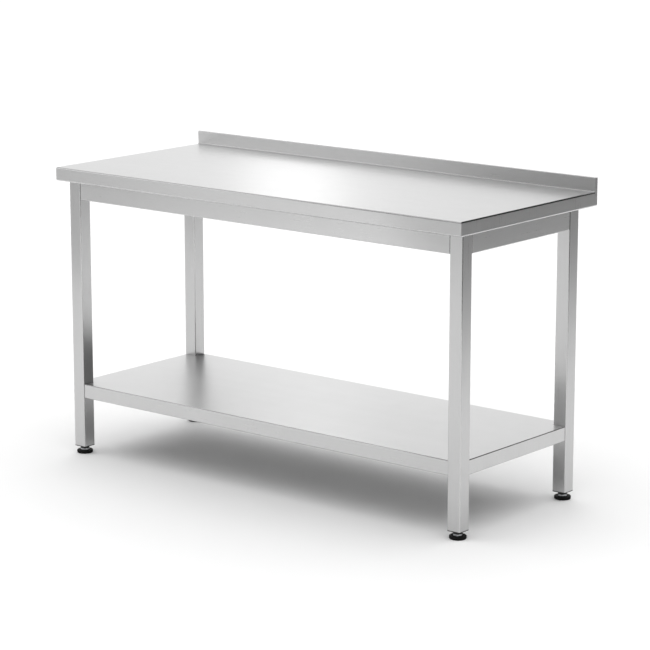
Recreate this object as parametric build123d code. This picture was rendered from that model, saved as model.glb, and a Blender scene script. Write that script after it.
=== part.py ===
from build123d import *

import os

# Stainless work table with an undershelf and a rear upstand. Millimetres, +Z up.
# The origin is on the floor under the middle of the worktop. The front faces -Y and
# the long side lies along X. The levelling feet are modelled screwed home.

# Worktop sheet
TABLE_LENGTH = 1400.0
TABLE_DEPTH = 600.0
WORKTOP_HEIGHT = 825.0  # floor to the working surface
WORKTOP_EDGE = 38.0  # depth of the folded edge
WORKTOP_SHEET = 1.0
WORKTOP_BEND = 4.0  # outside radius of its bends
WORKTOP_RETURN = 15.0  # inward flange at the bottom of the folded edge
UPSTAND_HEIGHT = 38.0  # above the working surface
UPSTAND_THICKNESS = 10.0
UPSTAND_BEND = 2.0

# Core board glued under the worktop sheet
BOARD_THICKNESS = 18.0
BOARD_CLEARANCE = 3.0

# Legs
LEG_WIDTH = 40.0
LEG_WALL = 1.25
LEG_CORNER = 2.5
LEG_INSET_END = 18.6  # worktop end to leg face
LEG_INSET_FRONT = 32.5
LEG_INSET_REAR = 57.0

# Aprons between the legs
APRON_DROP = 53.0  # visible height below the worktop edge
APRON_RECESS = 1.0  # apron face behind the leg face
APRON_SHEET = 1.2
APRON_BEND = 2.0
APRON_FLANGE = 30.0

# Undershelf
SHELF_HEIGHT = 205.0  # floor to the shelf surface
SHELF_EDGE = 40.0
SHELF_SHEET = 1.0
SHELF_BEND = 2.5
SHELF_RECESS = 2.5  # shelf edge behind the leg face
SHELF_RETURN = 12.0

# Hat-section stiffeners
HAT_SHEET = 1.2  # as the aprons, so that the same screws fit
HAT_HEIGHT = 30.0
HAT_BRIM = 20.0
HAT_BEND = 2.5
WORKTOP_HAT_CROWN = 60.0
SHELF_HAT_CROWN = 80.0
HAT_END_GAP = 2.0

# M6 bolts, washers and blind rivet nuts
BOLT_RADIUS = 3.0
BOLT_LENGTH = 16.0
BOLT_HEAD_ACROSS_FLATS = 10.0
BOLT_HEAD_HEIGHT = 4.0
BOLT_HOLE_RADIUS = 3.3
WASHER_RADIUS = 6.0
WASHER_THICKNESS = 1.6
RIVET_NUT_FLANGE_RADIUS = 6.5
RIVET_NUT_FLANGE = 0.5  # it holds the sheet this far off the leg
RIVET_NUT_RADIUS = 4.45
RIVET_NUT_LENGTH = 14.0
RIVET_NUT_BORE_RADIUS = 3.05
RIVET_NUT_BULGE_RADIUS = 5.5
RIVET_NUT_BULGE_LENGTH = 4.5
RIVET_NUT_HOLE_RADIUS = 4.5
APRON_BOLT_MARGIN = 18.0  # from the apron's top and bottom
SHELF_BOLT_DROP = 22.0  # below the shelf surface

# Wood screws into the core board
SCREW_RADIUS = 2.0
SCREW_LENGTH = 15.0
SCREW_HEAD_RADIUS = 4.0
SCREW_HEAD_HEIGHT = 2.5
SCREW_HOLE_RADIUS = 2.2
LONG_APRON_SCREWS = 5
LONG_APRON_SCREW_PITCH = 270.0
SHORT_APRON_SCREWS = 2
SHORT_APRON_SCREW_PITCH = 240.0
HAT_SCREWS = 4
HAT_SCREW_PITCH = 360.0

# Levelling feet, M12 x 1.75
PAD_RADIUS = 22.5
PAD_HEIGHT = 8.6
PAD_TOP_FILLET = 1.5
PAD_BOTTOM_FILLET = 2.5
SOCKET_DEPTH = 5.7
SPIGOT_RADIUS = 5.0
SPIGOT_LENGTH = 5.6
SPIGOT_CLEARANCE = 0.06
STUD_HEX_ACROSS_FLATS = 22.0
STUD_HEX_HEIGHT = 4.7
STUD_RADIUS = 6.0
STUD_THREAD_LENGTH = 66.0
STUD_TIP_CHAMFER = 1.2
HOME_GAP = 0.2  # between the hexagon and the collar with the foot screwed home
COLLAR_RADIUS = 12.5
COLLAR_HEIGHT = 7.3
PLUG_FLANGE = 2.2
PLUG_BODY = 37.3
PLUG_BODY_HEIGHT = 20.0
PLUG_BORE_RADIUS = 6.5
INSERT_NUT_ACROSS_FLATS = 18.0
INSERT_NUT_HEIGHT = 10.0
INSERT_NUT_CLEARANCE = 0.06
POCKET_CLEARANCE = 0.1

# Worked out from the sizes above
HALF_LENGTH = TABLE_LENGTH / 2
HALF_DEPTH = TABLE_DEPTH / 2
WORKTOP_UNDERSIDE = WORKTOP_HEIGHT - WORKTOP_EDGE
FRAME_TOP = WORKTOP_HEIGHT - WORKTOP_SHEET - BOARD_THICKNESS
LEG_BOTTOM = PAD_HEIGHT + STUD_HEX_HEIGHT + HOME_GAP + COLLAR_HEIGHT + PLUG_FLANGE
FRAME_HALF_LENGTH = HALF_LENGTH - LEG_INSET_END
FRAME_FRONT = -HALF_DEPTH + LEG_INSET_FRONT
FRAME_REAR = HALF_DEPTH - LEG_INSET_REAR
FRAME_DEPTH = FRAME_REAR - FRAME_FRONT
FRAME_MIDDLE = (FRAME_REAR + FRAME_FRONT) / 2
LEG_X = FRAME_HALF_LENGTH - LEG_WIDTH / 2
LEG_SPREAD_Y = FRAME_DEPTH / 2 - LEG_WIDTH / 2
APRON_BOTTOM = WORKTOP_UNDERSIDE - APRON_DROP
APRON_HEIGHT = FRAME_TOP - APRON_BOTTOM
SHELF_NOTCH = LEG_WIDTH - SHELF_RECESS + RIVET_NUT_FLANGE

# Corner name: (side along X, side along Y)
CORNERS = {
    "front_left": (-1, -1),
    "front_right": (1, -1),
    "rear_left": (-1, 1),
    "rear_right": (1, 1),
}


def leg_centre(side_x, side_y):
    return side_x * LEG_X, FRAME_MIDDLE + side_y * LEG_SPREAD_Y


def rounded_profile(width, height, top_radius, bottom_radius):
    """A rectangle standing on its base line, with rounded top and bottom corners."""
    face = Pos(0, height / 2) * Rectangle(width, height)
    if top_radius:
        face = fillet(face.vertices().group_by(Axis.Y)[-1], top_radius)
    if bottom_radius:
        face = fillet(face.vertices().group_by(Axis.Y)[0], bottom_radius)
    return face


def folded_block(length, width, height, top_radius, bottom_radius=0):
    """A block whose long and short edges are bent, with mitred corners. It stands on z = 0."""
    end_profile = rounded_profile(width, height, top_radius, bottom_radius)
    side_profile = rounded_profile(length, height, top_radius, bottom_radius)
    along_x = extrude(Plane.YZ * end_profile, length / 2, both=True)
    along_y = extrude(Plane.XZ * side_profile, width / 2, both=True)
    return along_x & along_y


def worktop_body(inset):
    """The worktop with its upstand, solid, with every face moved inwards by inset."""
    bend = WORKTOP_BEND - inset
    length = TABLE_LENGTH - 2 * inset
    depth = TABLE_DEPTH - 2 * inset
    base = WORKTOP_UNDERSIDE + inset
    slab = Pos(0, 0, base) * folded_block(length, depth, WORKTOP_EDGE - 2 * inset, bend, bend)
    upstand_depth = UPSTAND_THICKNESS - 2 * inset
    upstand_front = HALF_DEPTH - UPSTAND_THICKNESS + inset
    upstand_top = WORKTOP_HEIGHT + UPSTAND_HEIGHT - inset
    upstand_base = WORKTOP_UNDERSIDE + WORKTOP_EDGE / 2
    profile = rounded_profile(
        upstand_depth, upstand_top - upstand_base, UPSTAND_BEND - inset, 0
    )
    upstand = extrude(Plane.YZ * profile, length / 2, both=True)
    upstand = Pos(0, upstand_front + upstand_depth / 2, upstand_base) * upstand
    foot_radius = WORKTOP_BEND - WORKTOP_SHEET + inset
    surface = WORKTOP_HEIGHT - inset
    corner = Box(length, foot_radius, foot_radius)
    corner = Pos(0, upstand_front - foot_radius / 2, surface + foot_radius / 2) * corner
    scoop = Rot(0, 90, 0) * Cylinder(foot_radius, length)
    scoop = Pos(0, upstand_front - foot_radius, surface + foot_radius) * scoop
    return slab + upstand + (corner - scoop)


def make_worktop_sheet():
    """One sheet folded down on four sides, with the upstand folded up and back at the rear."""
    opening = Box(
        TABLE_LENGTH - 2 * WORKTOP_RETURN,
        TABLE_DEPTH - 2 * WORKTOP_RETURN,
        4 * WORKTOP_SHEET,
    )
    opening = Pos(0, 0, WORKTOP_UNDERSIDE) * opening
    return worktop_body(0) - worktop_body(WORKTOP_SHEET) - opening


def make_leg(side_x, side_y):
    """A square tube from the foot to the core board."""
    outer = RectangleRounded(LEG_WIDTH, LEG_WIDTH, LEG_CORNER)
    bore = LEG_WIDTH - 2 * LEG_WALL
    inner = RectangleRounded(bore, bore, LEG_CORNER - LEG_WALL)
    x, y = leg_centre(side_x, side_y)
    tube = Pos(x, y, LEG_BOTTOM) * extrude(outer - inner, FRAME_TOP - LEG_BOTTOM)
    for place in apron_bolt_places(side_x, side_y) + shelf_bolt_places(side_x, side_y):
        tube -= place * Cylinder(RIVET_NUT_HOLE_RADIUS, 3 * LEG_WALL)
    return tube


def make_tray(length, width, depth, sheet, bend):
    """A shallow folded tray, with its outer face up at z = depth and open below."""
    outer = folded_block(length, width, depth, bend)
    inner = folded_block(length - 2 * sheet, width - 2 * sheet, depth, bend - sheet)
    return outer - Pos(0, 0, -sheet) * inner


def make_apron(length, turn, face_distance):
    """A channel on edge, its web facing outwards, turned about +Z from the front."""
    tray = make_tray(length, APRON_HEIGHT, APRON_FLANGE, APRON_SHEET, APRON_BEND)
    upright = Rot(90, 0, 0) * tray
    upright = Pos(0, APRON_FLANGE - face_distance, APRON_BOTTOM + APRON_HEIGHT / 2) * upright
    return Pos(0, FRAME_MIDDLE, 0) * Rot(0, 0, turn) * upright


def notched_slab(block, length, width, notch):
    """A block on the legs' middle line, with a square of side notch cut from each corner."""
    for side_x, side_y in CORNERS.values():
        cut = Box(2 * notch, 2 * notch, 3 * SHELF_EDGE)
        block -= Pos(side_x * length / 2, side_y * width / 2, 0) * cut
    return Pos(0, FRAME_MIDDLE, SHELF_HEIGHT - SHELF_EDGE) * block


def shelf_body(inset):
    """The undershelf, solid, notched round the legs, with every face moved inwards by inset."""
    length = 2 * (FRAME_HALF_LENGTH - SHELF_RECESS - inset)
    width = FRAME_DEPTH - 2 * (SHELF_RECESS + inset)
    bend = SHELF_BEND - inset
    block = Pos(0, 0, inset) * folded_block(length, width, SHELF_EDGE - 2 * inset, bend, bend)
    return notched_slab(block, length, width, SHELF_NOTCH)


def make_undershelf_sheet():
    """One sheet folded down on four sides, with a wall down each face of its four notches."""
    length = 2 * (FRAME_HALF_LENGTH - SHELF_RECESS - SHELF_RETURN)
    width = FRAME_DEPTH - 2 * (SHELF_RECESS + SHELF_RETURN)
    notch = SHELF_NOTCH + SHELF_SHEET - SHELF_RETURN
    opening = notched_slab(Box(length, width, 4 * SHELF_SHEET), length, width, notch)
    return shelf_body(0) - shelf_body(SHELF_SHEET) - opening


def make_hat(length, crown, top):
    """A hat-section stiffener along X, its brims flat against the sheet or board above."""
    outer = Pos(0, -HAT_HEIGHT / 2) * Rectangle(crown, HAT_HEIGHT)
    outer = fillet(outer.vertices().group_by(Axis.Y)[0], HAT_BEND)
    inner = Pos(0, -(HAT_HEIGHT - HAT_SHEET) / 2) * Rectangle(
        crown - 2 * HAT_SHEET, HAT_HEIGHT - HAT_SHEET
    )
    inner = fillet(inner.vertices().group_by(Axis.Y)[0], HAT_BEND - HAT_SHEET)
    brims = Pos(0, -HAT_SHEET / 2) * Rectangle(crown + 2 * HAT_BRIM, HAT_SHEET)
    profile = outer + brims - inner
    hat = extrude(Plane.YZ * profile, length / 2, both=True)
    return Pos(0, FRAME_MIDDLE, top) * hat


def inner_face_places(side_x, side_y, height):
    """Places on a leg's two inner faces at a height, each with +Z pointing out of the leg."""
    x, y = leg_centre(side_x, side_y)
    across = Plane((x - side_x * LEG_WIDTH / 2, y, height), z_dir=(-side_x, 0, 0))
    along = Plane((x, y - side_y * LEG_WIDTH / 2, height), z_dir=(0, -side_y, 0))
    return [across.location, along.location]


def apron_bolt_places(side_x, side_y):
    heights = (APRON_BOTTOM + APRON_BOLT_MARGIN, FRAME_TOP - APRON_BOLT_MARGIN)
    return [place for z in heights for place in inner_face_places(side_x, side_y, z)]


def shelf_bolt_places(side_x, side_y):
    return inner_face_places(side_x, side_y, SHELF_HEIGHT - SHELF_BOLT_DROP)


def all_places(find):
    return [place for side_x, side_y in CORNERS.values() for place in find(side_x, side_y)]


def stand(shape, base):
    """Moves a shape centred on its own height so that it stands on base."""
    return Pos(0, 0, base + shape.bounding_box().size.Z / 2) * shape


def make_rivet_nut():
    flange = stand(Cylinder(RIVET_NUT_FLANGE_RADIUS, RIVET_NUT_FLANGE), 0)
    barrel = stand(Cylinder(RIVET_NUT_RADIUS, RIVET_NUT_LENGTH), -RIVET_NUT_LENGTH)
    bulge = Cylinder(RIVET_NUT_BULGE_RADIUS, RIVET_NUT_BULGE_LENGTH)
    bulge = stand(bulge, -LEG_WALL - RIVET_NUT_BULGE_LENGTH)
    bore = Cylinder(RIVET_NUT_BORE_RADIUS, 3 * RIVET_NUT_LENGTH)
    return flange + barrel + bulge - bore


def make_washer(sheet):
    ring = Cylinder(WASHER_RADIUS, WASHER_THICKNESS) - Cylinder(BOLT_HOLE_RADIUS, WASHER_THICKNESS)
    return stand(ring, RIVET_NUT_FLANGE + sheet)


def hexagon_prism(across_flats, height):
    hexagon = RegularPolygon(across_flats / 2, 6, major_radius=False)
    return extrude(hexagon, height)


def make_bolt(sheet):
    """A hexagon bolt whose head bears on the washer."""
    seat = RIVET_NUT_FLANGE + sheet + WASHER_THICKNESS
    head = Pos(0, 0, seat) * hexagon_prism(BOLT_HEAD_ACROSS_FLATS, BOLT_HEAD_HEIGHT)
    shank = stand(Cylinder(BOLT_RADIUS, BOLT_LENGTH), seat - BOLT_LENGTH)
    return head + shank


def make_screw():
    """A pan-head wood screw pointing up, its head under a sheet that lies on the board."""
    seat = -APRON_SHEET
    head = stand(Cylinder(SCREW_HEAD_RADIUS, SCREW_HEAD_HEIGHT), seat - SCREW_HEAD_HEIGHT)
    head = fillet(head.edges().group_by(Axis.Z)[0], SCREW_HEAD_HEIGHT / 2)
    shank = stand(Cylinder(SCREW_RADIUS, SCREW_LENGTH), seat)
    return head + shank


def row(count, pitch):
    return [(i - (count - 1) / 2) * pitch for i in range(count)]


def screw_places():
    """Where the wood screws cross the underside of the core board."""
    flange_middle = APRON_FLANGE / 2
    front = FRAME_FRONT + APRON_RECESS + flange_middle
    rear = FRAME_REAR - APRON_RECESS - flange_middle
    end = FRAME_HALF_LENGTH - APRON_RECESS - flange_middle
    brim = WORKTOP_HAT_CROWN / 2 + HAT_BRIM / 2
    places = [(x, y) for x in row(LONG_APRON_SCREWS, LONG_APRON_SCREW_PITCH) for y in (front, rear)]
    places += [
        (x, FRAME_MIDDLE + y)
        for y in row(SHORT_APRON_SCREWS, SHORT_APRON_SCREW_PITCH)
        for x in (-end, end)
    ]
    places += [
        (x, FRAME_MIDDLE + y) for x in row(HAT_SCREWS, HAT_SCREW_PITCH) for y in (-brim, brim)
    ]
    return [Pos(x, y, FRAME_TOP) for x, y in places]


def make_core_board():
    """The chipboard panel, drilled for the wood screws."""
    front = -HALF_DEPTH + WORKTOP_SHEET + BOARD_CLEARANCE
    rear = HALF_DEPTH - UPSTAND_THICKNESS - BOARD_CLEARANCE
    length = TABLE_LENGTH - 2 * (WORKTOP_SHEET + BOARD_CLEARANCE)
    board = Box(length, rear - front, BOARD_THICKNESS)
    board = Pos(0, (front + rear) / 2, FRAME_TOP + BOARD_THICKNESS / 2) * board
    hole = Cylinder(SCREW_RADIUS, 2 * SCREW_LENGTH)
    for place in screw_places():
        board -= place * hole
    return board


def make_pad():
    """The round foot pad, with a socket for the stud's spigot."""
    disc = stand(Cylinder(PAD_RADIUS, PAD_HEIGHT), 0)
    rims = disc.edges().group_by(Axis.Z)
    disc = fillet(rims[-1], PAD_TOP_FILLET)
    disc = fillet(disc.edges().group_by(Axis.Z)[0], PAD_BOTTOM_FILLET)
    socket = Cylinder(SPIGOT_RADIUS + SPIGOT_CLEARANCE, SOCKET_DEPTH)
    return disc - stand(socket, PAD_HEIGHT - SOCKET_DEPTH)


def make_stud():
    """The levelling stud: a spigot in the pad, a hexagon and the thread, as its plain cylinder."""
    spigot = stand(Cylinder(SPIGOT_RADIUS, SPIGOT_LENGTH), PAD_HEIGHT - SPIGOT_LENGTH)
    hexagon = Pos(0, 0, PAD_HEIGHT) * hexagon_prism(STUD_HEX_ACROSS_FLATS, STUD_HEX_HEIGHT)
    thread = Cylinder(STUD_RADIUS, STUD_THREAD_LENGTH)
    thread = chamfer(thread.edges().group_by(Axis.Z)[-1], STUD_TIP_CHAMFER)
    return spigot + hexagon + stand(thread, PAD_HEIGHT + STUD_HEX_HEIGHT)


def make_plug():
    """The plastic end plug: a body in the tube, a flange under its end and a round collar."""
    flange = extrude(RectangleRounded(LEG_WIDTH, LEG_WIDTH, LEG_CORNER), -PLUG_FLANGE)
    body = extrude(
        RectangleRounded(PLUG_BODY, PLUG_BODY, LEG_CORNER - LEG_WALL), PLUG_BODY_HEIGHT
    )
    collar = stand(Cylinder(COLLAR_RADIUS, COLLAR_HEIGHT), -PLUG_FLANGE - COLLAR_HEIGHT)
    bore = Cylinder(PLUG_BORE_RADIUS, 4 * PLUG_BODY_HEIGHT)
    pocket = hexagon_prism(INSERT_NUT_ACROSS_FLATS + 2 * POCKET_CLEARANCE, PLUG_BODY_HEIGHT)
    pocket = Pos(0, 0, PLUG_BODY_HEIGHT - INSERT_NUT_HEIGHT) * pocket
    return Pos(0, 0, LEG_BOTTOM) * (flange + body + collar - bore - pocket)


def make_insert_nut():
    """The steel nut in the plug, its thread as a plain bore with running clearance."""
    nut = hexagon_prism(INSERT_NUT_ACROSS_FLATS, INSERT_NUT_HEIGHT)
    nut -= Cylinder(STUD_RADIUS + INSERT_NUT_CLEARANCE, 3 * INSERT_NUT_HEIGHT)
    return Pos(0, 0, LEG_BOTTOM + PLUG_BODY_HEIGHT - INSERT_NUT_HEIGHT) * nut


def drilled(shape, places):
    for place in places:
        shape -= place * Cylinder(BOLT_HOLE_RADIUS, 4 * APRON_SHEET)
    return shape


def screwed(shape):
    for place in screw_places():
        shape -= place * Cylinder(SCREW_HOLE_RADIUS, 4 * APRON_SHEET)
    return shape


def group(shape, places):
    return Compound(children=[place * shape for place in places])


def save(name, shape):
    export_step(shape, f"parts/{name}.step")


def save_worktop():
    save("worktop_sheet", make_worktop_sheet())
    save("worktop_core_board", make_core_board())
    hat_length = 2 * (FRAME_HALF_LENGTH - APRON_RECESS - APRON_FLANGE - HAT_END_GAP)
    save("worktop_stiffener", screwed(make_hat(hat_length, WORKTOP_HAT_CROWN, FRAME_TOP)))
    save("worktop_screws", group(make_screw(), screw_places()))


def save_frame():
    for name, (side_x, side_y) in CORNERS.items():
        save(f"leg_{name}", make_leg(side_x, side_y))
    long_length = 2 * (FRAME_HALF_LENGTH - LEG_WIDTH - RIVET_NUT_FLANGE)
    short_length = FRAME_DEPTH - 2 * (LEG_WIDTH + RIVET_NUT_FLANGE)
    long_distance = FRAME_DEPTH / 2 - APRON_RECESS
    short_distance = FRAME_HALF_LENGTH - APRON_RECESS
    aprons = {
        "apron_front": (long_length, 0, long_distance),
        "apron_right": (short_length, 90, short_distance),
        "apron_rear": (long_length, 180, long_distance),
        "apron_left": (short_length, 270, short_distance),
    }
    places = all_places(apron_bolt_places)
    for name, (length, turn, distance) in aprons.items():
        apron = make_apron(length, turn, distance)
        save(name, screwed(drilled(apron, places)))
    save("apron_bolts", group(make_bolt(APRON_SHEET), places))
    save("apron_washers", group(make_washer(APRON_SHEET), places))
    save("apron_rivet_nuts", group(make_rivet_nut(), places))


def save_undershelf():
    places = all_places(shelf_bolt_places)
    save("undershelf_sheet", drilled(make_undershelf_sheet(), places))
    hat_length = 2 * (FRAME_HALF_LENGTH - SHELF_RECESS - SHELF_RETURN - HAT_END_GAP)
    underside = SHELF_HEIGHT - SHELF_SHEET
    save("undershelf_stiffener", make_hat(hat_length, SHELF_HAT_CROWN, underside))
    save("undershelf_bolts", group(make_bolt(SHELF_SHEET), places))
    save("undershelf_washers", group(make_washer(SHELF_SHEET), places))
    save("undershelf_rivet_nuts", group(make_rivet_nut(), places))


def save_feet():
    pieces = {
        "foot_plug": make_plug(),
        "foot_insert_nut": make_insert_nut(),
        "foot_stud": make_stud(),
        "foot_pad": make_pad(),
    }
    for name, (side_x, side_y) in CORNERS.items():
        x, y = leg_centre(side_x, side_y)
        for piece, shape in pieces.items():
            save(f"{piece}_{name}", Pos(x, y, 0) * shape)


os.makedirs("parts", exist_ok=True)
save_worktop()
save_frame()
save_undershelf()
save_feet()
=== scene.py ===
"""Looks of the stainless work table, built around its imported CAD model."""
import math

import bmesh
import bpy
from mathutils import Matrix


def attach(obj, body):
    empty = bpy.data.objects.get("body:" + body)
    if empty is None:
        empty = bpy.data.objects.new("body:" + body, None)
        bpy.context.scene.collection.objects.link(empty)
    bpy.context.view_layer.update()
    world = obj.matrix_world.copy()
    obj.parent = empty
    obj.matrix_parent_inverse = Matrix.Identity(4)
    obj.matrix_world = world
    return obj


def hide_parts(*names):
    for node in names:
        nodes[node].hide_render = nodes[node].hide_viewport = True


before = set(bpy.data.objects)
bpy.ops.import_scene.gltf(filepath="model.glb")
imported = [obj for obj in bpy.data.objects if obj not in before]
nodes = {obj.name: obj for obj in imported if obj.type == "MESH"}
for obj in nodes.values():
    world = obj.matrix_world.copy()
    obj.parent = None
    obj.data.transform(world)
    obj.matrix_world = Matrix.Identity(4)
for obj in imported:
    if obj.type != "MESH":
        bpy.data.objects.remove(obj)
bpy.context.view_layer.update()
scene = bpy.context.scene

X, Y, Z = (1.0, 0.0, 0.0), (0.0, 1.0, 0.0), (0.0, 0.0, 1.0)
WHITE = (1.0, 1.0, 1.0, 1.0)


# ---------------------------------------------------------------- node helpers

class Nodes:
    """Builds a node tree. A call adds one node or a few, and returns an output of the last."""

    def __init__(self, tree):
        self.tree = tree
        tree.nodes.clear()

    def add(self, kind, inputs=None, out=0, **settings):
        node = self.tree.nodes.new(kind)
        for key, value in settings.items():
            setattr(node, key, value)
        for key, value in (inputs or {}).items():
            socket = node.inputs[key]
            if isinstance(value, bpy.types.NodeSocket):
                self.tree.links.new(value, socket)
            else:
                socket.default_value = value
        return node.outputs[out]

    def end(self, kind, surface):
        """Adds the node that the tree ends in, which has no outputs."""
        node = self.tree.nodes.new(kind)
        self.tree.links.new(surface, node.inputs["Surface"])

    def math(self, operation, a, b=0.0):
        return self.add("ShaderNodeMath", {0: a, 1: b}, operation=operation)

    def vector(self, operation, a, b=(0.0, 0.0, 0.0), out=0):
        return self.add("ShaderNodeVectorMath", {0: a, 1: b}, out=out, operation=operation)

    def axis(self, vector, index):
        return self.add("ShaderNodeSeparateXYZ", {0: vector}, out=index)

    def axis_size(self, vector, index):
        """One coordinate of a vector, without its sign."""
        return self.math("ABSOLUTE", self.axis(vector, index))

    def spread(self, value, low, high, to_low, to_high, smooth=False):
        """Maps low and high to to_low and to_high, and keeps to them outside that range."""
        ends = {"From Min": low, "From Max": high, "To Min": to_low, "To Max": to_high}
        return self.add(
            "ShaderNodeMapRange", {"Value": value, **ends},
            interpolation_type="SMOOTHSTEP" if smooth else "LINEAR",
        )

    def swing(self, noise, to_low, to_high):
        """Maps a noise, which is mostly between 0.3 and 0.7, to a range."""
        return self.spread(noise, 0.3, 0.7, to_low, to_high)

    def noise(self, vector, scale, detail, rough, scaling=None):
        if scaling:
            vector = self.vector("MULTIPLY", vector, scaling)
        return self.add(
            "ShaderNodeTexNoise",
            {"Vector": vector, "Scale": scale, "Detail": detail, "Roughness": rough},
        )

    def mix(self, factor, a, b, **settings):
        inputs = {"Factor": factor, "A": a, "B": b}
        return self.add("ShaderNodeMix", inputs, out="Result", **settings)

    def mix_colours(self, factor, a, b):
        """Mixes two colours, each an output of a node or three numbers."""
        a, b = (c if isinstance(c, bpy.types.NodeSocket) else (*c, 1.0) for c in (a, b))
        return self.mix(factor, a, b, data_type="RGBA")

    def bump(self, height, strength, distance):
        inputs = {"Strength": strength, "Distance": distance, "Height": height}
        return self.add("ShaderNodeBump", inputs, out="Normal")


def new_material(name):
    material = bpy.data.materials.new(name)
    material.use_nodes = True
    return material, Nodes(material.node_tree)


def finish_material(n, inputs):
    n.end("ShaderNodeOutputMaterial", n.add("ShaderNodeBsdfPrincipled", inputs))


# ---------------------------------------------------------------- materials

def brushed_steel(name, grain, end_grain=None, colour=0.58, roughness=0.3, anisotropy=0.75):
    """Stainless sheet or tube with a finish brushed along one axis, the grain.

    Faces that look along that axis take end_grain instead, as on a flap folded down at the end
    of a sheet.
    """
    material, n = new_material(name)
    place = n.add("ShaderNodeTexCoord", out="Object")
    normal = n.add("ShaderNodeNewGeometry", out="Normal")

    def streaks(direction, along, across, detail, rough):
        scaling = tuple(along if c else across for c in direction)
        return n.noise(place, 1.0, detail, rough, scaling)

    def grained(along, across, detail, rough):
        """Noise with so many waves a metre along the grain, and across it."""
        main = streaks(grain, along, across, detail, rough)
        if end_grain is None:
            return main
        faces_end = n.math("GREATER_THAN", n.axis_size(normal, grain.index(1.0)), 0.72)
        return n.mix(faces_end, main, streaks(end_grain, along, across, detail, rough))

    fine = grained(9.0, 1100.0, 2.0, 0.6)
    lines = grained(1.6, 210.0, 4.0, 0.62)
    bands = grained(0.7, 26.0, 2.0, 0.5)
    cloud = n.noise(place, 4.2, 3.0, 0.55)
    smudge = n.noise(place, 17.0, 4.0, 0.6)

    tone = n.math("ADD", n.math("MULTIPLY", lines, 0.45), n.math("MULTIPLY", bands, 0.55))
    tone = n.math("ADD", n.math("MULTIPLY", tone, 0.8), n.math("MULTIPLY", cloud, 0.2))
    tone = n.math("ADD", n.swing(tone, 0.0, 0.62), n.swing(fine, 0.0, 0.38))
    dark, light = 0.964 * colour, 1.034 * colour
    base = n.mix_colours(tone, (dark, dark, 0.998 * dark), (light, light, 1.002 * light))

    rough = n.swing(lines, roughness - 0.014, roughness + 0.014)
    rough = n.math("ADD", rough, n.spread(smudge, 0.35, 0.75, -0.01, 0.016))
    rough = n.math("ADD", rough, n.swing(fine, -0.02, 0.02))
    # a bend is half as rough as the flat faces beside it
    flatness = n.math("MAXIMUM", n.axis_size(normal, 0), n.axis_size(normal, 1))
    flatness = n.math("MAXIMUM", flatness, n.axis_size(normal, 2))
    rough = n.math("MULTIPLY", rough, n.spread(flatness, 0.95, 0.995, 0.5, 1.0, smooth=True))

    # the small shift across the grain gives a direction to faces that look along it
    shift = tuple(0.02 * c for c in {X: Y, Y: X, Z: X}[grain])
    tangent = n.vector("ADD", n.vector("CROSS_PRODUCT", normal, grain), shift)
    # the finish of level faces is less directional
    level = n.math("GREATER_THAN", n.axis_size(normal, 2), 0.9)
    finish_material(n, {
        "Base Color": base, "Metallic": 1.0, "Normal": n.bump(fine, 0.16, 0.00002),
        "Tangent": n.vector("NORMALIZE", tangent),
        "Roughness": n.math("MULTIPLY", rough, n.mix(level, 1.0, 1.12)),
        "Anisotropic": n.mix(level, anisotropy, 0.4 * anisotropy),
    })
    return material


def plain_metal(name, colour, roughness):
    """Small metal parts: zinc plated or turned stainless, with a mottled finish."""
    material, n = new_material(name)
    place = n.add("ShaderNodeTexCoord", out="Object")
    spots = n.noise(place, 360.0, 4.0, 0.6)
    patches = n.noise(place, 60.0, 3.0, 0.55)
    dull = tuple(0.86 * c for c in colour)
    finish_material(n, {
        "Base Color": n.mix_colours(n.swing(patches, 0.0, 1.0), dull, colour), "Metallic": 1.0,
        "Roughness": n.swing(spots, roughness - 0.06, roughness + 0.08),
        "Normal": n.bump(spots, 0.35, 0.00004),
    })
    return material


def moulded_plastic(name, colour, roughness, specular):
    """Black moulded plastic with a fine spark-eroded grain and a few scuffs."""
    material, n = new_material(name)
    place = n.add("ShaderNodeTexCoord", out="Object")
    grain = n.noise(place, 1500.0, 3.0, 0.6)
    scuffs = n.noise(place, 90.0, 4.0, 0.65)
    scuffed = n.spread(scuffs, 0.55, 0.8, 0.0, 1.0, smooth=True)
    rough = n.spread(scuffs, 0.3, 0.8, roughness - 0.05, roughness + 0.12)
    finish_material(n, {
        "Base Color": n.mix_colours(scuffed, (colour,) * 3, (2.4 * colour,) * 3),
        "Roughness": n.math("ADD", rough, n.swing(grain, -0.03, 0.03)),
        "Specular IOR Level": specular, "Normal": n.bump(grain, 0.3, 0.00006),
    })
    return material


def laminated_board(name):
    """Pale melamine faces, and chipboard where the board is cut."""
    material, n = new_material(name)
    place = n.add("ShaderNodeTexCoord", out="Object")
    normal = n.add("ShaderNodeNewGeometry", out="Normal")
    on_face = n.math("GREATER_THAN", n.axis_size(normal, 2), 0.7)
    paper = n.noise(place, 420.0, 3.0, 0.6)
    face = n.mix_colours(n.swing(paper, 0.0, 1.0), (0.52, 0.52, 0.51), (0.6, 0.6, 0.585))
    chips = {"Vector": place, "Scale": 330.0, "Randomness": 1.0}
    chip = n.axis(n.add("ShaderNodeTexVoronoi", chips, out="Color"), 0)
    cut = n.mix_colours(chip, (0.22, 0.14, 0.075), (0.5, 0.36, 0.22))
    rough_cut, rough_face = n.spread(chip, 0.0, 1.0, 0.75, 0.95), n.swing(paper, 0.42, 0.5)
    finish_material(n, {
        "Base Color": n.mix_colours(on_face, cut, face),
        "Roughness": n.mix(on_face, rough_cut, rough_face),
        "Normal": n.bump(n.mix(on_face, chip, paper), 0.3, 0.00008),
    })
    return material


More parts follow.
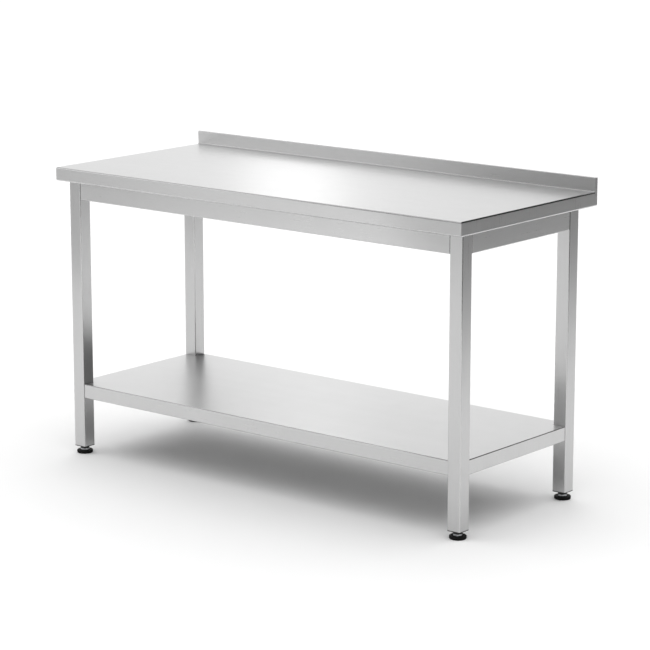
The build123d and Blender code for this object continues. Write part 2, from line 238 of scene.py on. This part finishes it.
SHEET = brushed_steel("sheet_steel_brushed", X, end_grain=Z)
SIDE_SHEET = brushed_steel("side_sheet_steel_brushed", Y, end_grain=Z)
TUBE = brushed_steel("tube_steel_brushed", Z, colour=0.55)
INNER = brushed_steel(
    "inner_steel_mill", X, end_grain=Z, colour=0.5, roughness=0.38, anisotropy=0.4,
)
FASTENER = plain_metal("fastener_steel_bright", (0.6, 0.6, 0.6), 0.3)
ZINC = plain_metal("zinc_steel_plated", (0.83, 0.845, 0.87), 0.36)
PLUG = moulded_plastic("plug_plastic_black", colour=0.01, roughness=0.42, specular=0.35)
PAD = moulded_plastic("pad_plastic_black", colour=0.006, roughness=0.6, specular=0.1)
BOARD = laminated_board("laminated_board_grey")

FINISHES = {
    "worktop_sheet": SHEET, "undershelf_sheet": SHEET,
    "apron_front": SHEET, "apron_rear": SHEET,
    "apron_left": SIDE_SHEET, "apron_right": SIDE_SHEET,
    "worktop_stiffener": INNER, "undershelf_stiffener": INNER,
    "worktop_core_board": BOARD,
}
CORNER_FINISHES = {
    "leg_": TUBE, "foot_plug_": PLUG, "foot_pad_": PAD,
    "foot_stud_": ZINC, "foot_insert_nut_": ZINC,
}


def finish_of(name):
    """The material of a CAD node. The nodes in neither table are bolts, washers and the like."""
    if name in FINISHES:
        return FINISHES[name]
    for start, material in CORNER_FINISHES.items():
        if name.startswith(start):
            return material
    return FASTENER


for name, node in nodes.items():
    node.data.materials.clear()
    node.data.materials.append(finish_of(name))


# ---------------------------------------------------------------- threads, bolts and screws

MM = 0.001

# sizes of the CAD model that these pieces keep to, in millimetres
LEG_X, LEG_FRONT, LEG_REAR = 661.4, -247.5, 223.0
LEG_HALF = 20.0
FRAME_TOP = 806.0
APRON_SHEET, SHELF_SHEET = 1.2, 1.0
RIVET_NUT_FLANGE = 0.5
WASHER = 1.6
APRON_BOLT_HEIGHTS = (752.0, 788.0)
SHELF_BOLT_HEIGHT = 183.0
PAD_TOP = 8.6
STUD_NUT_ACROSS_FLATS, STUD_NUT_TOP, STUD_TOP = 22.0, 13.3, 79.3
BOLT_ACROSS_FLATS, BOLT_HEAD, BOLT_LENGTH = 10.0, 4.0, 16.0
SCREW_LENGTH = 15.0
SCREW_INSET = 16.0              # from a leg's outer face to the middle of an apron's flange
STIFFENER_SCREW_SIDE = 40.0     # from the stiffener's middle to that of its flange

# outer, root and end radius and pitch of each thread
M12 = (6.0, 5.05, 4.8, 1.75)
M6 = (3.0, 2.45, 2.3, 1.0)
WOOD_THREAD = (2.0, 1.35, 0.5, 1.8)

# radius and height of points on a screw's head, from the dome to the seat
SCREW_HEAD = (
    (0.6, -3.7), (2.75, -3.7), (3.3, -3.6), (3.72, -3.25), (3.94, -2.8), (4.0, -2.4),
    (4.0, -APRON_SHEET),
)
RECESS_LENGTH, RECESS_WIDTH, RECESS_HEIGHT, RECESS_MIDDLE = 4.4, 0.95, 2.6, -3.2

# how far one part of a piece runs into the next, and what keeps two surfaces from coinciding
OVERLAP = 0.2
CLEAR = 0.02

CORNERS = {
    "front_left": (-1, -1), "front_right": (1, -1), "rear_left": (-1, 1), "rear_right": (1, 1),
}


def ring(radius, height, segments):
    """Points round +Z. Radius and height are numbers, or functions of the angle."""
    points = []
    for i in range(segments):
        angle = 2 * math.pi * i / segments
        r = radius(angle) if callable(radius) else radius
        z = height(angle) if callable(height) else height
        points.append((r * math.cos(angle), r * math.sin(angle), z))
    return points


def skin(made, rings):
    """Closes a stack of rings into one solid."""
    rows = [[made.verts.new(point) for point in points] for points in rings]
    count = len(rows[0])
    for low, high in zip(rows, rows[1:]):
        for i in range(count):
            j = (i + 1) % count
            made.faces.new((low[i], low[j], high[j], high[i]))
    made.faces.new(rows[0][::-1])
    made.faces.new(rows[-1])


def turned(made, profile, segments=48):
    """A round solid from (radius, height) pairs, bottom to top."""
    skin(made, [ring(radius, height, segments) for radius, height in profile])


def hexagon(made, across_flats, low, high):
    """A hexagon with both of its ends chamfered to a circle, at 20 degrees."""
    flat = across_flats / 2
    circle = 0.98 * flat
    slope = math.tan(math.radians(20))
    segments = 72

    def side(angle):
        return flat / math.cos(angle % math.radians(60) - math.radians(30))

    def drop(angle):
        return (side(angle) - circle) * slope

    skin(made, [
        ring(circle, low, segments),
        ring(side, lambda angle: low + drop(angle), segments),
        ring(side, lambda angle: high - drop(angle), segments),
        ring(circle, high, segments),
    ])


def thread(made, size, low, high, segments=24):
    """A right-hand thread that runs out to its end radius at low and at high."""
    major, root, tip, pitch = size
    # a part of the pitch, and the radius there
    profile = ((0.0, root), (0.19, root), (0.53, major), (0.66, major))
    turns = math.ceil((high - low) / pitch) + 2
    rows = []
    for turn in range(-1, turns):
        for phase, radius in profile:
            row = []
            for i in range(segments):
                angle = 2 * math.pi * i / segments
                z = low + pitch * (turn + phase + i / segments)
                z = min(max(z, low), high)
                r = min(radius, tip + (z - low), tip + (high - z))
                row.append(made.verts.new((r * math.cos(angle), r * math.sin(angle), z)))
            rows.append(row)
    step = len(profile)
    for j in range(len(rows) - 1):
        this, above = rows[j], rows[j + 1]
        for i in range(segments - 1):
            made.faces.new((this[i], this[i + 1], above[i + 1], above[i]))
        if j + step + 1 < len(rows):
            next_turn, above_it = rows[j + step], rows[j + step + 1]
            made.faces.new((this[-1], next_turn[0], above_it[0], above[-1]))
    bmesh.ops.remove_doubles(made, verts=list(made.verts), dist=1e-5)
    open_edges = [edge for edge in made.edges if edge.is_boundary]
    bmesh.ops.holes_fill(made, edges=open_edges, sides=0)


def as_mesh(name, made):
    """Millimetres to metres, with its sharp edges kept sharp."""
    mesh = bpy.data.meshes.new(name)
    bmesh.ops.scale(made, vec=(MM, MM, MM), verts=list(made.verts))
    bmesh.ops.recalc_face_normals(made, faces=list(made.faces))
    made.to_mesh(mesh)
    made.free()
    mesh.shade_smooth()
    mesh.set_sharp_from_angle(angle=math.radians(25))
    return mesh


def cut_from(mesh, cutter):
    """The mesh less the volume of the cutter."""
    whole, tool = (bpy.data.objects.new(m.name, m) for m in (mesh, cutter))
    for piece in (whole, tool):
        scene.collection.objects.link(piece)
    boolean = whole.modifiers.new("cut", "BOOLEAN")
    boolean.object = tool
    seen = whole.evaluated_get(bpy.context.evaluated_depsgraph_get())
    result = bpy.data.meshes.new_from_object(seen)
    for piece in (whole, tool):
        bpy.data.objects.remove(piece)
    return result


def joined(name, meshes, places):
    """One mesh with all the given ones at every place."""
    made = bmesh.new()
    for place in places:
        for mesh in meshes:
            copy = mesh.copy()
            copy.transform(place)
            made.from_mesh(copy)
            bpy.data.meshes.remove(copy)
    mesh = bpy.data.meshes.new(name)
    made.to_mesh(mesh)
    made.free()
    return mesh


def add_piece(name, mesh, material, body, stands_for):
    """Adds a mesh that rides on a body and stands for a CAD node."""
    piece = bpy.data.objects.new(name, mesh)
    scene.collection.objects.link(piece)
    mesh.materials.clear()
    mesh.materials.append(material)
    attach(piece, body)
    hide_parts(stands_for)


def leg_centre(side_x, side_y):
    return side_x * LEG_X, LEG_FRONT if side_y < 0 else LEG_REAR


def stud_mesh():
    """The levelling stud: a spigot in the pad, a hexagon, and the M12 thread."""
    spigot, nut, shank = bmesh.new(), bmesh.new(), bmesh.new()
    turned(spigot, ((4.4, 3.0), (5.0, 3.6), (5.0, PAD_TOP + OVERLAP)))
    hexagon(nut, STUD_NUT_ACROSS_FLATS, PAD_TOP + CLEAR, STUD_NUT_TOP)
    thread(shank, M12, STUD_NUT_TOP - OVERLAP, STUD_TOP)
    parts = [as_mesh("stud_part", made) for made in (spigot, nut, shank)]
    return joined("levelling_stud", parts, [Matrix()])


def bolt_mesh(sheet):
    """An M6 bolt along +Z, out of the leg, whose head bears on the washer over a sheet."""
    seat = RIVET_NUT_FLANGE + sheet + WASHER
    head, shank = bmesh.new(), bmesh.new()
    hexagon(head, BOLT_ACROSS_FLATS, seat, seat + BOLT_HEAD)
    thread(shank, M6, seat - BOLT_LENGTH, seat + OVERLAP, segments=16)
    parts = [as_mesh("bolt_part", made) for made in (head, shank)]
    return joined("bolt", parts, [Matrix()])


def screw_mesh():
    """A pan-head wood screw pointing up, with a cross recess.

    Its head is under the sheet of an apron or the stiffener, and the board is above 0.
    """
    head, cross, shank = bmesh.new(), bmesh.new(), bmesh.new()
    turned(head, SCREW_HEAD, 32)
    middle = Matrix.Translation((0, 0, RECESS_MIDDLE))
    for turn, longer in ((0, 0.0), (90, CLEAR / 2)):
        size = Matrix.Diagonal((RECESS_LENGTH, RECESS_WIDTH, RECESS_HEIGHT + longer, 1.0))
        place = Matrix.Rotation(math.radians(turn), 4, "Z") @ middle @ size
        bmesh.ops.create_cube(cross, size=1.0, matrix=place)
    seat = -APRON_SHEET
    thread(shank, WOOD_THREAD, seat - OVERLAP / 2, seat + SCREW_LENGTH, segments=16)
    head, cross, shank = (as_mesh("screw_part", made) for made in (head, cross, shank))
    return joined("wood_screw", [cut_from(head, cross), shank], [Matrix()])


def bolt_places(heights):
    """Places on the two inner faces of every leg, each with +Z pointing out of the leg."""
    places = []
    for side_x, side_y in CORNERS.values():
        x, y = leg_centre(side_x, side_y)
        for z in heights:
            across = Matrix.Translation((MM * (x - side_x * LEG_HALF), MM * y, MM * z))
            along = Matrix.Translation((MM * x, MM * (y - side_y * LEG_HALF), MM * z))
            places.append(across @ Matrix.Rotation(math.radians(-90 * side_x), 4, "Y"))
            places.append(along @ Matrix.Rotation(math.radians(90 * side_y), 4, "X"))
    return places


def evenly(count, pitch):
    """As many places as count, a pitch apart, with 0 in their middle."""
    return [(i - (count - 1) / 2) * pitch for i in range(count)]


def screw_places():
    """Where the board is screwed to the long aprons, the end aprons and the stiffener."""
    middle = (LEG_FRONT + LEG_REAR) / 2
    long_y = (LEG_REAR - LEG_FRONT) / 2 + LEG_HALF - SCREW_INSET
    end_x = LEG_X + LEG_HALF - SCREW_INSET
    stiffener_y = STIFFENER_SCREW_SIDE
    spots = [(x, y) for x in evenly(5, 270.0) for y in (-long_y, long_y)]
    spots += [(x, y) for x in (-end_x, end_x) for y in evenly(2, 240.0)]
    spots += [(x, y) for x in evenly(4, 360.0) for y in (-stiffener_y, stiffener_y)]
    return [Matrix.Translation((MM * x, MM * (middle + y), MM * FRAME_TOP)) for x, y in spots]


for corner, sides in CORNERS.items():
    x, y = leg_centre(*sides)
    stud = stud_mesh()
    stud.transform(Matrix.Translation((MM * x, MM * y, 0.0)))
    body = "foot_stud_body_" + "".join(word[0] for word in corner.split("_"))
    add_piece(f"threaded_stud_{corner}", stud, ZINC, body, f"foot_stud_{corner}")

for name, sheet, heights in (("apron_bolts", APRON_SHEET, APRON_BOLT_HEIGHTS),
                             ("undershelf_bolts", SHELF_SHEET, (SHELF_BOLT_HEIGHT,))):
    bolts = joined(name, [bolt_mesh(sheet)], bolt_places(heights))
    add_piece(f"{name}_chamfered", bolts, FASTENER, "root", name)

screws = joined("worktop_screws", [screw_mesh()], screw_places())
add_piece("worktop_screws_recessed", screws, FASTENER, "root", "worktop_screws")


# ---------------------------------------------------------------- studio

def make_floor():
    mesh = bpy.data.meshes.new("studio_floor")
    made = bmesh.new()
    bmesh.ops.create_circle(made, cap_ends=True, segments=96, radius=60.0)
    made.to_mesh(mesh)
    made.free()
    floor = bpy.data.objects.new("studio_floor", mesh)
    scene.collection.objects.link(floor)
    material, n = new_material("studio_floor_white")
    finish_material(n, {
        "Base Color": (0.82, 0.82, 0.82, 1.0), "Roughness": 0.9, "Specular IOR Level": 0.0,
    })
    mesh.materials.append(material)


def make_card(name, centre, facing, width, height, radiance, across=None, upward=None, tilt=0.0):
    """A studio card that shows only in reflections, upright unless it is tilted.

    Its radiance changes evenly to across at its right side, or to upward at its top.
    """
    mesh = bpy.data.meshes.new(name)
    w, h = width / 2, height / 2
    mesh.from_pydata([(-w, 0, -h), (w, 0, -h), (w, 0, h), (-w, 0, h)], [], [(0, 1, 2, 3)])
    card = bpy.data.objects.new(name, mesh)
    scene.collection.objects.link(card)
    card.location = centre
    card.rotation_euler = (math.radians(tilt), 0.0, math.radians(facing))
    material, n = new_material(name)
    place = n.add("ShaderNodeTexCoord", out="Object")
    strength = radiance
    if across is not None:
        strength = n.spread(n.axis(place, 0), -w, w, radiance, across)
    if upward is not None:
        strength = n.spread(n.axis(place, 2), -h, h, radiance, upward)
    glow = n.add("ShaderNodeEmission", {"Color": WHITE, "Strength": strength})
    n.end("ShaderNodeOutputMaterial", glow)
    material.cycles.emission_sampling = "NONE"
    mesh.materials.append(material)
    card.visible_camera = False
    card.visible_diffuse = False
    card.visible_shadow = False
    card.visible_transmission = False


def direction(azimuth, elevation):
    """Unit vector: azimuth 0 is +Y, 90 is +X, in degrees."""
    a, e = math.radians(azimuth), math.radians(elevation)
    return math.sin(a) * math.cos(e), math.cos(a) * math.cos(e), math.sin(e)


# soft round lights: azimuth, elevation, inner and outer half angle in degrees, radiance
GLOWS = (
    (-39, 26, 6, 27, 0.95),
    (-130, 15, 5, 24, 1.05),
)


def light_studio():
    """A sky that fades above the horizon and is bright overhead, with the glows in it."""
    world = bpy.data.worlds.new("studio")
    scene.world = world
    world.use_nodes = True
    n = Nodes(world.node_tree)
    way = n.add("ShaderNodeTexCoord", out="Generated")
    up = n.axis(way, 2)
    total = n.spread(up, 0.0, 0.4, 0.6, 0.3, smooth=True)
    total = n.math("ADD", total, n.spread(up, 0.45, 0.85, 0.0, 1.7, smooth=True))
    for azimuth, elevation, inner, outer, radiance in GLOWS:
        facing = n.vector("DOT_PRODUCT", way, direction(azimuth, elevation), out="Value")
        low, high = math.cos(math.radians(outer)), math.cos(math.radians(inner))
        total = n.math("ADD", total, n.spread(facing, low, high, 0.0, radiance, smooth=True))
    sky = n.add("ShaderNodeBackground", {"Color": WHITE, "Strength": total})
    n.end("ShaderNodeOutputWorld", sky)


CAMERA_PLACE = (4.3515, -5.2742, 1.9106)
CAMERA_TURN, CAMERA_DIP = 39.38, 12.29


def make_camera():
    """The photograph's view: turned left of +Y and dipped below the horizon, in degrees."""
    data = bpy.data.cameras.new("camera")
    data.sensor_width = 36.0
    data.lens = 141.64
    data.clip_end = 300.0
    camera = bpy.data.objects.new("camera", data)
    camera.location = CAMERA_PLACE
    camera.rotation_euler = (math.radians(90 - CAMERA_DIP), 0.0, math.radians(CAMERA_TURN))
    scene.collection.objects.link(camera)
    scene.camera = camera


make_floor()
# name, centre, facing in degrees, width and height in metres, radiance
make_card("right_flag_lower", (1.96, 1.6, 0.21), -90.0, 4.0, 0.42, 0.84, upward=0.18)
make_card("right_flag_middle", (1.96, 1.6, 0.66), -90.0, 4.0, 0.48, 0.3, upward=0.05)
make_card("right_flag_upper", (1.96, 2.05, 1.65), -90.0, 3.1, 1.5, 0.04)
make_card("rear_flag", (2.1, 2.2, 2.45), 0.0, 5.4, 1.5, 0.02)
make_card("camera_side_flag", (2.2, -2.3, 0.45), -135.0, 4.4, 0.9, 0.2)
make_card("front_screen", (-2.3, -2.7, 0.5), 140.0, 6.0, 1.0, 0.65)
make_card("front_flag", (-0.98, -2.9, 1.65), 0.0, 2.24, 1.5, 0.02)
make_card("front_bounce", (-0.85, -1.08, 0.58), 0.0, 1.5, 0.56, 0.55, across=1.28)
make_card("rear_strip", (-1.79, 1.98, 2.0), 40.3, 0.34, 1.3, 2.1)
make_card("ceiling_front", (0.0, -2.7, 3.2), 0.0, 12.0, 6.6, 0.82, tilt=90.0)
make_card("ceiling_left", (-3.4, 3.3, 3.2), 0.0, 5.2, 5.4, 0.95, tilt=90.0)
make_card("ceiling_right", (2.2, 1.4, 3.2), 0.0, 6.0, 1.6, 0.03, upward=0.6, tilt=90.0)
light_studio()
make_camera()
scene.view_settings.view_transform = "Standard"
scene.view_settings.look = "None"
